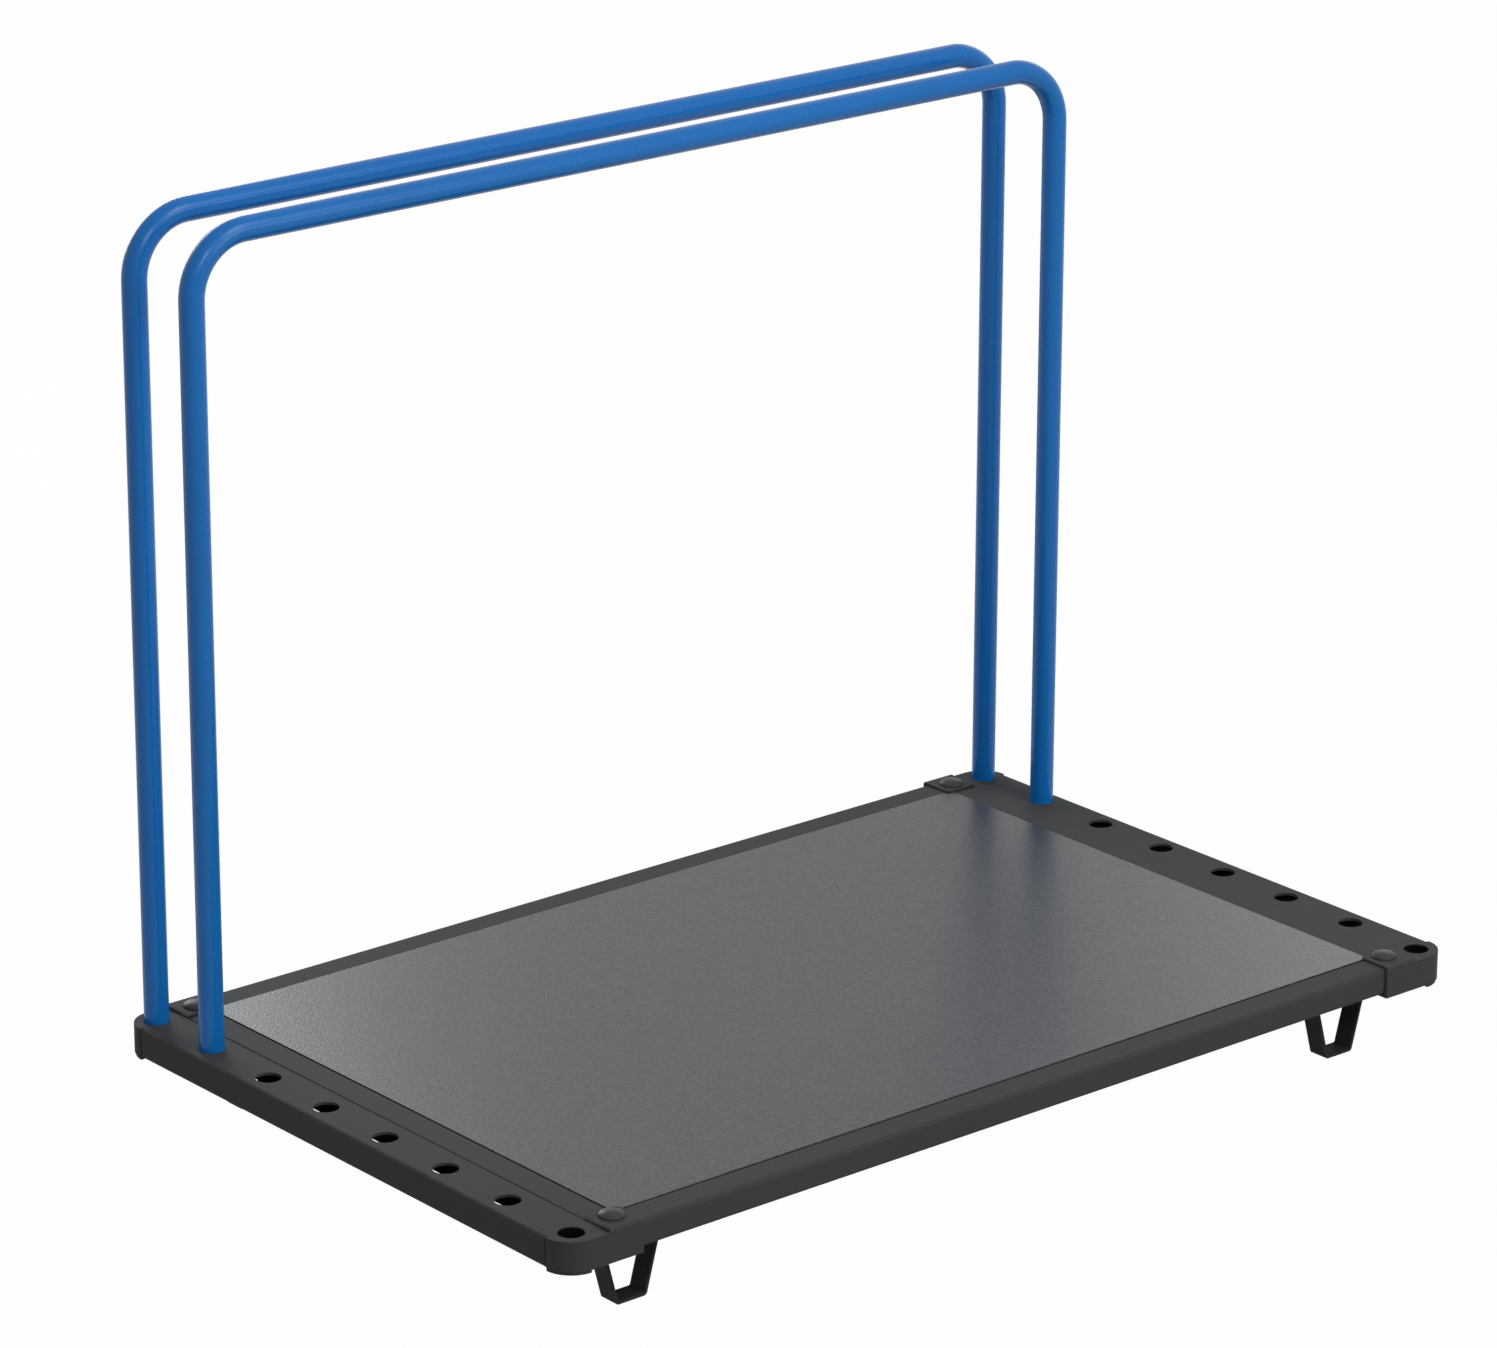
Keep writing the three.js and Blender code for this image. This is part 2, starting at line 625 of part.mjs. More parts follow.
for (const end of ENDS) {
  const half = new THREE.Group();
  half.scale.x = end.side;
  platform.add(half);
  place(half, `end_rail_${end.name}`, endRail(), greyCoat());
  place(half, `end_strip_${end.name}`, endStrip(), greyCoat());
  place(half, `cross_bar_${end.name}`, endCrossBar(), blackCoat());

  for (const row of SIDES) {
    const corner = new THREE.Group();
    corner.scale.y = row.side;
    half.add(corner);
    const where = `${row.name}_${end.name}`;
    place(corner, `corner_cap_${where}`, cornerCap(), capPlastic());
    place(corner, `cap_bolt_${where}`, capBolt(), greyCoat());
    place(corner, `cap_nut_${where}`, capNut(), steel());
    place(corner, `foot_${where}`, foot(), blackCoat());
    footBoltXs.forEach((x, i) => {
      const which = i === 0 ? "inner" : "outer";
      place(corner, `foot_bolt_${where}_${which}`, footBolt(x), steel());
      place(corner, `foot_nut_${where}_${which}`, footNut(x), steel());
    });
  }
}

const HOOPS = [
  { name: "front", socket: FRONT_HOOP_SOCKET },
  { name: "back", socket: BACK_HOOP_SOCKET },
];
for (const { name, socket } of HOOPS) {
  const stand = new THREE.Group();
  stand.position.y = socketY(socket);
  platform.add(stand);
  place(stand, `hoop_${name}`, hoop(), blueCoat());
  for (const end of ENDS) {
    place(stand, `leg_plug_${name}_${end.name}`, legPlug(end.side * rowX), plugPlastic());
  }
}

export default cart;
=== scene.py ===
import math

import bmesh
import bpy
from mathutils import Matrix, Vector


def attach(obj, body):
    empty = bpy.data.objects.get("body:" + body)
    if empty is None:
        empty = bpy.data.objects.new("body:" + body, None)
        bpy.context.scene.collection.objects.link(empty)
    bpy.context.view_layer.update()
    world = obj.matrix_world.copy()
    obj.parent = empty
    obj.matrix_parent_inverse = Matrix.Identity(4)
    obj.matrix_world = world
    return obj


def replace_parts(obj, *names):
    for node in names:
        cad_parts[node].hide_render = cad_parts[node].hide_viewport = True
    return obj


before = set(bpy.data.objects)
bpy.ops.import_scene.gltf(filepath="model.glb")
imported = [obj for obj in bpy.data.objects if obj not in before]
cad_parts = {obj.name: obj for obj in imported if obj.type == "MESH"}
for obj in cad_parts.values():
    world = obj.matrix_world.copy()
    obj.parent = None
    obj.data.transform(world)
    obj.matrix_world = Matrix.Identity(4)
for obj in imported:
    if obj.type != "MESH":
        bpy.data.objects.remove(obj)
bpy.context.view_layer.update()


# Viewpoint
# A long lens looks down on the front left corner, from well back, as the product picture does.
# The camera leans by a sixth of a degree.
def stand_camera():
    data = bpy.data.cameras.new("viewpoint")
    data.sensor_width = 36
    data.lens = 149.63
    data.clip_start = 0.1
    data.clip_end = 60
    forward = Vector((0.60765, 0.72332, -0.32798)).normalized()
    right = Vector((0.76630, -0.64247, 0.00283)).normalized()
    up = right.cross(forward)
    turn = Matrix((right, up, -forward)).transposed().to_4x4()
    camera = bpy.data.objects.new("viewpoint", data)
    camera.matrix_world = Matrix.Translation((-4.00378, -4.68550, 2.59663)) @ turn
    bpy.context.scene.collection.objects.link(camera)
    bpy.context.scene.camera = camera


stand_camera()
bpy.context.scene.view_settings.view_transform = "Standard"


# Studio
# A plain floor runs out to a white surround. Broad soft lamps hang overhead, at the front left and
# in front, and two low ones behind put a sheen on the deck. Seen directly, the floor is white.
def seen_directly(nodes, links):
    """A mask of the rays that show the surround: direct, mirrored or through glass."""
    path = nodes.new("ShaderNodeLightPath")
    mirrored = nodes.new("ShaderNodeMath")
    mirrored.operation = "MAXIMUM"
    links.new(path.outputs["Is Camera Ray"], mirrored.inputs[0])
    links.new(path.outputs["Is Glossy Ray"], mirrored.inputs[1])
    through = nodes.new("ShaderNodeMath")
    through.operation = "MAXIMUM"
    links.new(mirrored.outputs[0], through.inputs[0])
    links.new(path.outputs["Is Transmission Ray"], through.inputs[1])
    return through.outputs[0]


def light_surround():
    world = bpy.data.worlds.new("white_surround")
    world.use_nodes = True
    nodes, links = world.node_tree.nodes, world.node_tree.links
    nodes.clear()
    out = nodes.new("ShaderNodeOutputWorld")
    ambient = nodes.new("ShaderNodeBackground")
    ambient.inputs["Color"].default_value = (1, 1, 1, 1)
    ambient.inputs["Strength"].default_value = 0.31
    white = nodes.new("ShaderNodeBackground")
    white.inputs["Color"].default_value = (1, 1, 1, 1)
    white.inputs["Strength"].default_value = 1
    mix = nodes.new("ShaderNodeMixShader")
    links.new(seen_directly(nodes, links), mix.inputs[0])
    links.new(ambient.outputs[0], mix.inputs[1])
    links.new(white.outputs[0], mix.inputs[2])
    links.new(mix.outputs[0], out.inputs[0])
    bpy.context.scene.world = world


def lay_floor():
    bpy.ops.object.select_all(action="DESELECT")
    bpy.ops.mesh.primitive_plane_add(size=30, location=(0, 0, -0.0005))
    floor = bpy.context.object
    floor.name = "studio_floor"
    material = bpy.data.materials.new("white_floor")
    material.use_nodes = True
    nodes, links = material.node_tree.nodes, material.node_tree.links
    nodes.clear()
    out = nodes.new("ShaderNodeOutputMaterial")
    paint = nodes.new("ShaderNodeBsdfDiffuse")
    paint.inputs["Color"].default_value = (0.42, 0.40, 0.37, 1)
    white = nodes.new("ShaderNodeEmission")
    white.inputs["Strength"].default_value = 1
    almost = nodes.new("ShaderNodeMath")
    almost.operation = "MULTIPLY"
    almost.inputs[1].default_value = 0.985
    links.new(seen_directly(nodes, links), almost.inputs[0])
    mix = nodes.new("ShaderNodeMixShader")
    links.new(almost.outputs[0], mix.inputs[0])
    links.new(paint.outputs[0], mix.inputs[1])
    links.new(white.outputs[0], mix.inputs[2])
    links.new(mix.outputs[0], out.inputs[0])
    floor.data.materials.append(material)


def hang_lamp(name, place, aim, size, watts, color=(1, 1, 1)):
    data = bpy.data.lights.new(name, "AREA")
    data.shape = "DISK"
    data.size = size
    data.energy = watts
    data.color = color
    lamp = bpy.data.objects.new(name, data)
    lamp.location = place
    lamp.rotation_mode = "QUATERNION"
    lamp.rotation_quaternion = (Vector(aim) - Vector(place)).to_track_quat("-Z", "Y")
    bpy.context.scene.collection.objects.link(lamp)


light_surround()
lay_floor()
hang_lamp(
    "overhead_lamp",
    place=(0.9, -2.8, 3.7),
    aim=(0, 0, 0.3),
    size=2.2,
    watts=71,
    color=(0.97, 0.985, 1),
)
hang_lamp("left_lamp", place=(-1.8, -2.9, 2.9), aim=(0, 0, 0.3), size=1.3, watts=34)
hang_lamp(
    "front_lamp",
    place=(2.2, -5.6, 2.0),
    aim=(0, 0, 0.4),
    size=2.4,
    watts=66,
    color=(1, 0.86, 0.58),
)
hang_lamp("back_left_lamp", place=(0.3, 3.0, 1.45), aim=(-0.4, 0, 0.1), size=2.0, watts=46)
hang_lamp("back_right_lamp", place=(3.4, 2.0, 1.5), aim=(0.4, 0, 0.1), size=1.3, watts=5.4)

# End rails
# Each end of the frame is a channel folded from 3 mm steel, open towards the deck. Sockets are
# punched through its top, with small locating holes under them. It is powder coated dark grey.
MM = 0.001
SOCKET_RAIL_TOP = 0.107
ROW_X = 0.584
CORNER_SOCKET_Y = 0.350
SOCKET_SPACING = 0.100
SOCKET_RADIUS = 13.7 * MM
LOCATING_RADIUS = 5.3 * MM
FACING = 0.9


def level(z_mm):
    """A height given in millimetres from the top of the socket rails."""
    return SOCKET_RAIL_TOP + z_mm * MM


def start_box(name, low, high):
    bpy.ops.object.select_all(action="DESELECT")
    centre = [(a + b) / 2 for a, b in zip(low, high)]
    size = [abs(b - a) for a, b in zip(low, high)]
    bpy.ops.mesh.primitive_cube_add(size=1, location=centre, scale=size)
    bpy.ops.object.transform_apply(location=True, rotation=True, scale=True)
    piece = bpy.context.object
    piece.name = name
    for corner in piece.data.vertices:
        corner.co = [a if c < m else b for c, m, a, b in zip(corner.co, centre, low, high)]
    return piece


def start_rod(name, x, y, low, high, radius, sides):
    bpy.ops.object.select_all(action="DESELECT")
    middle = (x, y, (low + high) / 2)
    bpy.ops.mesh.primitive_cylinder_add(
        vertices=sides, radius=radius, depth=high - low, location=middle
    )
    bpy.ops.object.transform_apply(location=True, rotation=True, scale=True)
    piece = bpy.context.object
    piece.name = name
    return piece


def work_on(piece):
    bpy.ops.object.select_all(action="DESELECT")
    piece.select_set(True)
    bpy.context.view_layer.objects.active = piece


def pick_faces(wanted):
    """In edit mode, selects the faces whose centre and normal are wanted.

    A face looks along an axis where that part of its normal passes FACING.
    """
    bpy.ops.mesh.select_mode(type="FACE")
    bpy.ops.mesh.select_all(action="DESELECT")
    mesh = bmesh.from_edit_mesh(bpy.context.object.data)
    mesh.normal_update()
    for face in mesh.faces:
        face.select_set(bool(wanted(face.calc_center_median(), face.normal)))
    bmesh.update_edit_mesh(bpy.context.object.data)


def pick_edges(wanted):
    """In edit mode, selects the edges whose two ends are both wanted."""
    bpy.ops.mesh.select_mode(type="EDGE")
    bpy.ops.mesh.select_all(action="DESELECT")
    mesh = bmesh.from_edit_mesh(bpy.context.object.data)
    for edge in mesh.edges:
        edge.select_set(all(wanted(v.co) for v in edge.verts))
    bmesh.update_edit_mesh(bpy.context.object.data)


def near(value, target):
    """Whether two coordinates are the same, but for rounding."""
    return abs(value - target) < 0.02 * MM


def apply_modifier(piece, kind, **settings):
    work_on(piece)
    modifier = piece.modifiers.new(kind.lower(), kind)
    for key, value in settings.items():
        setattr(modifier, key, value)
    bpy.ops.object.modifier_apply(modifier=modifier.name)


def combine(piece, tool, operation):
    """Joins, cuts or keeps the common part of a piece and a tool, and throws the tool away."""
    apply_modifier(piece, "BOOLEAN", operation=operation, object=tool, solver="EXACT")
    bpy.data.objects.remove(tool)


def shade_evenly(piece):
    """Smooth shading in which large flat faces stay flat right up to their rounded edges."""
    work_on(piece)
    bpy.ops.object.shade_smooth_by_angle(angle=math.radians(40))
    apply_modifier(piece, "WEIGHTED_NORMAL", mode="FACE_AREA", weight=100, keep_sharp=True)


def soften_edges(piece, width, segments=2):
    """Rounds every sharp edge a little."""
    apply_modifier(
        piece,
        "BEVEL",
        width=width,
        segments=segments,
        limit_method="ANGLE",
        angle_limit=math.radians(38),
        miter_outer="MITER_ARC",
    )


def speckle_group():
    """Fine grain and slow drift of tone, shared by the coats and mouldings."""
    group = bpy.data.node_groups.new("coat_grain", "ShaderNodeTree")
    group.interface.new_socket("Grain Size", in_out="INPUT", socket_type="NodeSocketFloat")
    group.interface.new_socket("Grain", in_out="OUTPUT", socket_type="NodeSocketFloat")
    group.interface.new_socket("Drift", in_out="OUTPUT", socket_type="NodeSocketFloat")
    nodes, links = group.nodes, group.links
    inputs = nodes.new("NodeGroupInput")
    outputs = nodes.new("NodeGroupOutput")
    where = nodes.new("ShaderNodeTexCoord")
    per_metre = nodes.new("ShaderNodeMath")
    per_metre.operation = "DIVIDE"
    per_metre.inputs[0].default_value = 1
    links.new(inputs.outputs["Grain Size"], per_metre.inputs[1])
    grain = nodes.new("ShaderNodeTexNoise")
    grain.inputs["Detail"].default_value = 2
    grain.inputs["Roughness"].default_value = 0.55
    links.new(where.outputs["Object"], grain.inputs["Vector"])
    links.new(per_metre.outputs[0], grain.inputs["Scale"])
    links.new(grain.outputs[0], outputs.inputs["Grain"])
    drift = nodes.new("ShaderNodeTexNoise")
    drift.inputs["Scale"].default_value = 4.5
    drift.inputs["Detail"].default_value = 3
    links.new(where.outputs["Object"], drift.inputs["Vector"])
    links.new(drift.outputs[0], outputs.inputs["Drift"])
    return group


coat_grain = speckle_group()


def edge_rub_group():
    """A mask of the outer edges, where handling polishes a coat and a painted highlight lightens
    them.
    """
    group = bpy.data.node_groups.new("edge_wear_and_highlight", "ShaderNodeTree")
    group.interface.new_socket("Width", in_out="INPUT", socket_type="NodeSocketFloat")
    group.interface.new_socket("Wear And Highlight", in_out="OUTPUT", socket_type="NodeSocketFloat")
    nodes, links = group.nodes, group.links
    inputs = nodes.new("NodeGroupInput")
    outputs = nodes.new("NodeGroupOutput")
    rounded = nodes.new("ShaderNodeBevel")
    rounded.samples = 4
    links.new(inputs.outputs["Width"], rounded.inputs["Radius"])
    surface = nodes.new("ShaderNodeNewGeometry")
    match = nodes.new("ShaderNodeVectorMath")
    match.operation = "DOT_PRODUCT"
    links.new(rounded.outputs[0], match.inputs[0])
    links.new(surface.outputs["Normal"], match.inputs[1])
    spread = nodes.new("ShaderNodeMapRange")
    spread.inputs["From Min"].default_value = 0.98
    spread.inputs["From Max"].default_value = 0.72
    links.new(match.outputs["Value"], spread.inputs["Value"])
    patchy = nodes.new("ShaderNodeTexNoise")
    patchy.inputs["Scale"].default_value = 70
    where = nodes.new("ShaderNodeTexCoord")
    links.new(where.outputs["Object"], patchy.inputs["Vector"])
    broken = nodes.new("ShaderNodeMath")
    broken.operation = "MULTIPLY"
    links.new(spread.outputs[0], broken.inputs[0])
    links.new(patchy.outputs[0], broken.inputs[1])
    links.new(broken.outputs[0], outputs.inputs["Wear And Highlight"])
    return group


edge_wear_and_highlight = edge_rub_group()


def coat(name, color, roughness, specular, grain_mm, bump_mm, wear_and_highlight_color=None, metallic=0.0):
    """A coat or moulding with a grain, a drift of tone and, if asked, edges painted lighter as wear
    and as a painted highlight.
    """
    material = bpy.data.materials.new(name)
    material.use_nodes = True
    nodes, links = material.node_tree.nodes, material.node_tree.links
    shader = nodes["Principled BSDF"]
    shader.inputs["Specular IOR Level"].default_value = specular
    shader.inputs["Metallic"].default_value = metallic
    grain = nodes.new("ShaderNodeGroup")
    grain.node_tree = coat_grain
    grain.inputs["Grain Size"].default_value = grain_mm * MM

    tone = nodes.new("ShaderNodeMix")
    tone.data_type = "RGBA"
    tone.inputs["A"].default_value = [c * 0.9 for c in color[:3]] + [1]
    tone.inputs["B"].default_value = [c * 1.1 for c in color[:3]] + [1]
    links.new(grain.outputs["Drift"], tone.inputs["Factor"])
    fleck = nodes.new("ShaderNodeMix")
    fleck.data_type = "RGBA"
    fleck.blend_type = "OVERLAY"
    fleck.inputs["Factor"].default_value = 0.25
    links.new(tone.outputs["Result"], fleck.inputs["A"])
    links.new(grain.outputs["Grain"], fleck.inputs["B"])
    surface_color = fleck.outputs["Result"]
    # The outer edges get a lighter colour: partly wear, partly a painted highlight.
    if wear_and_highlight_color:
        wear_and_highlight_mask = nodes.new("ShaderNodeGroup")
        wear_and_highlight_mask.node_tree = edge_wear_and_highlight
        wear_and_highlight_mask.inputs["Width"].default_value = 1.6 * MM
        worn_and_highlighted = nodes.new("ShaderNodeMix")
        worn_and_highlighted.data_type = "RGBA"
        worn_and_highlighted.inputs["B"].default_value = wear_and_highlight_color
        links.new(wear_and_highlight_mask.outputs["Wear And Highlight"], worn_and_highlighted.inputs["Factor"])
        links.new(surface_color, worn_and_highlighted.inputs["A"])
        surface_color = worn_and_highlighted.outputs["Result"]
    links.new(surface_color, shader.inputs["Base Color"])

    gloss_swing = 0.06
    gloss = nodes.new("ShaderNodeMapRange")
    gloss.inputs["To Min"].default_value = roughness - gloss_swing
    gloss.inputs["To Max"].default_value = roughness + gloss_swing
    links.new(grain.outputs["Grain"], gloss.inputs["Value"])
    links.new(gloss.outputs[0], shader.inputs["Roughness"])
    bump = nodes.new("ShaderNodeBump")
    bump.inputs["Strength"].default_value = 1
    bump.inputs["Distance"].default_value = bump_mm * MM
    links.new(grain.outputs["Grain"], bump.inputs["Height"])
    links.new(bump.outputs[0], shader.inputs["Normal"])
    return material


charcoal_coat = coat(
    "charcoal_coat",
    color=(0.0522, 0.0538, 0.0564, 1),
    roughness=0.65,
    specular=0.05,
    grain_mm=0.9,
    bump_mm=0.03,
    wear_and_highlight_color=(0.055, 0.055, 0.055, 1),
)


def fold_end_rail(name, side):
    inner, outer = side * 556.1 * MM, side * 610 * MM
    bottom, top = level(-33.5), level(0)
    half_length, uncut = 341.2 * MM, 346 * MM
    sheet, fold = 3 * MM, 4 * MM
    rail = start_box(name, (min(inner, outer), -uncut, bottom), (max(inner, outer), uncut, top))
    bpy.ops.object.mode_set(mode="EDIT")
    pick_faces(lambda centre, normal: near(centre.x, inner) or abs(normal.y) > FACING)
    bpy.ops.mesh.delete(type="FACE")
    for height in (top, bottom):
        pick_edges(lambda point: near(point.x, outer) and near(point.z, height))
        bpy.ops.mesh.bevel(offset=fold, segments=6, affect="EDGES")
    bpy.ops.object.mode_set(mode="OBJECT")
    apply_modifier(rail, "SOLIDIFY", thickness=sheet, offset=-1, use_even_offset=True)
    web, past_inner, margin = side * 607 * MM, side * 550 * MM, 5 * MM
    for end in (-1, 1):
        flange_end, beyond = end * 327.7 * MM, end * 350 * MM
        low = (min(past_inner, web), min(flange_end, beyond), bottom - margin)
        high = (max(past_inner, web), max(flange_end, beyond), top + margin)
        combine(rail, start_box("notch", low, high), "DIFFERENCE")
    for number in range(-3, 3):
        y = (number + 0.5) * SOCKET_SPACING
        punch = start_rod("punch", side * ROW_X, y, level(-8), level(5), SOCKET_RADIUS, 64)
        combine(rail, punch, "DIFFERENCE")
        drill = start_rod("drill", side * ROW_X, y, level(-40), level(-20), LOCATING_RADIUS, 32)
        combine(rail, drill, "DIFFERENCE")
    soften_edges(rail, width=0.5 * MM)
    # The rail is cut to length after the rounding, so its ends stay square.
    room = start_box("room", (-0.7, -half_length, 0), (0.7, half_length, 0.2))
    combine(rail, room, "INTERSECT")
    shade_evenly(rail)
    rail.data.materials.append(charcoal_coat)
    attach(rail, "base")
    return rail


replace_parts(fold_end_rail("left_end_rail", -1), "end_rail_left")
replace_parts(fold_end_rail("right_end_rail", 1), "end_rail_right")

# End strips
# A narrow channel of 2.5 mm sheet, open underneath, fills the space between each end rail and the
# deck. It is welded between the side rails, stands a hair above the end rail and is coated like it.


def fold_end_strip(name, side):
    inner, outer = side * 523.65 * MM, side * 555.45 * MM
    bottom, top = level(-28.8), level(0.7)
    half_length = 338.9 * MM
    sheet, lap = 2.5 * MM, 1.5 * MM
    low = (min(inner, outer), -half_length, bottom)
    high = (max(inner, outer), half_length, top)
    strip = start_box(name, low, high)
    bpy.ops.object.mode_set(mode="EDIT")
    pick_faces(lambda centre, normal: normal.z < -FACING or abs(normal.y) > FACING)
    bpy.ops.mesh.delete(type="FACE")
    pick_edges(lambda point: near(point.x, outer) and near(point.z, bottom))
    bpy.ops.transform.translate(value=(0, 0, -lap))
    bpy.ops.object.mode_set(mode="OBJECT")
    apply_modifier(strip, "SOLIDIFY", thickness=sheet, offset=-1, use_even_offset=True)
    soften_edges(strip, width=1.1 * MM, segments=3)
    shade_evenly(strip)
    strip.data.materials.append(charcoal_coat)
    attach(strip, "base")
    return strip


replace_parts(fold_end_strip("left_end_strip", -1), "end_strip_left")
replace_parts(fold_end_strip("right_end_strip", 1), "end_strip_right")

# Side rails
# The two long rails are rectangular steel tube with 2 mm walls and softly rounded outer edges.
# Their ends sit inside the corner caps, and they have the same dark coat as the end rails.


def draw_side_rail(name, side):
    inner, outer = side * 339.2 * MM, side * 372 * MM
    bottom, top = level(-28.8), level(0.7)
    half_length, wall = 553.45 * MM, 2 * MM
    low = (-half_length, min(inner, outer), bottom)
    high = (half_length, max(inner, outer), top)
    rail = start_box(name, low, high)
    bpy.ops.object.mode_set(mode="EDIT")
    pick_faces(lambda centre, normal: abs(normal.x) > FACING)
    bpy.ops.mesh.delete(type="FACE")
    for face, radius, steps in ((outer, 4 * MM, 7), (inner, 1.2 * MM, 4)):
        for height in (top, bottom):
            pick_edges(lambda point: near(point.y, face) and near(point.z, height))
            bpy.ops.mesh.bevel(offset=radius, segments=steps, affect="EDGES")
    bpy.ops.object.mode_set(mode="OBJECT")
    apply_modifier(rail, "SOLIDIFY", thickness=wall, offset=-1, use_even_offset=True)
    shade_evenly(rail)
    rail.data.materials.append(charcoal_coat)
    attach(rail, "base")
    return rail


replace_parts(draw_side_rail("front_side_rail", -1), "side_rail_front")
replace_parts(draw_side_rail("back_side_rail", 1), "side_rail_back")

# Corner caps
# Each corner is one dark moulding: a round-cornered block with the row's last socket, a spigot in
# the end rail, a sleeve over the side rail's end with a raised pad, and a lip underneath.
cap_moulding = coat(
    "cap_moulding",
    color=(0.0522, 0.0536, 0.0560, 1),
    roughness=0.65,
    specular=0.05,
    grain_mm=0.7,
    bump_mm=0.03,
    wear_and_highlight_color=(0.052, 0.052, 0.052, 1),
)


def blacken_socket(material):
    """Paints shade inside the cap's socket, below its rim: the bore is coloured near black."""
    nodes, links = material.node_tree.nodes, material.node_tree.links
    base = nodes["Principled BSDF"].inputs["Base Color"]
    unshaded_color = base.links[0].from_socket
    where = nodes.new("ShaderNodeTexCoord")
    one_corner = nodes.new("ShaderNodeVectorMath")
    one_corner.operation = "ABSOLUTE"
    links.new(where.outputs["Object"], one_corner.inputs[0])
    axes = nodes.new("ShaderNodeSeparateXYZ")
    links.new(one_corner.outputs[0], axes.inputs[0])
    plan = nodes.new("ShaderNodeCombineXYZ")
    links.new(axes.outputs["X"], plan.inputs["X"])
    links.new(axes.outputs["Y"], plan.inputs["Y"])
    reach = nodes.new("ShaderNodeVectorMath")
    reach.operation = "DISTANCE"
    reach.inputs[1].default_value = (ROW_X, CORNER_SOCKET_Y, 0)
    links.new(plan.outputs[0], reach.inputs[0])
    inside = nodes.new("ShaderNodeMath")
    inside.operation = "LESS_THAN"
    inside.inputs[1].default_value = SOCKET_RADIUS + 0.25 * MM
    links.new(reach.outputs["Value"], inside.inputs[0])
    depth = nodes.new("ShaderNodeMapRange")
    depth.inputs["From Min"].default_value = level(-0.4)
    depth.inputs["From Max"].default_value = level(-2)
    links.new(axes.outputs["Z"], depth.inputs["Value"])
    socket_shade_mask = nodes.new("ShaderNodeMath")
    socket_shade_mask.operation = "MULTIPLY"
    links.new(inside.outputs[0], socket_shade_mask.inputs[0])
    links.new(depth.outputs[0], socket_shade_mask.inputs[1])
    # Painted shade: the bore below the socket's rim is coloured near black.
    shaded = nodes.new("ShaderNodeMix")
    shaded.data_type = "RGBA"
    shaded.inputs["B"].default_value = (0.003, 0.003, 0.003, 1)
    links.new(socket_shade_mask.outputs[0], shaded.inputs["Factor"])
    links.new(unshaded_color, shaded.inputs["A"])
    links.new(shaded.outputs["Result"], base)


blacken_socket(cap_moulding)


def merge_close(piece):
    """Merges the points that cuts leave a hair apart."""
    work_on(piece)
    bpy.ops.object.mode_set(mode="EDIT")
    bpy.ops.mesh.select_all(action="SELECT")
    bpy.ops.mesh.remove_doubles(threshold=0.01 * MM)
    bpy.ops.mesh.dissolve_degenerate(threshold=0.01 * MM)
    bpy.ops.object.mode_set(mode="OBJECT")


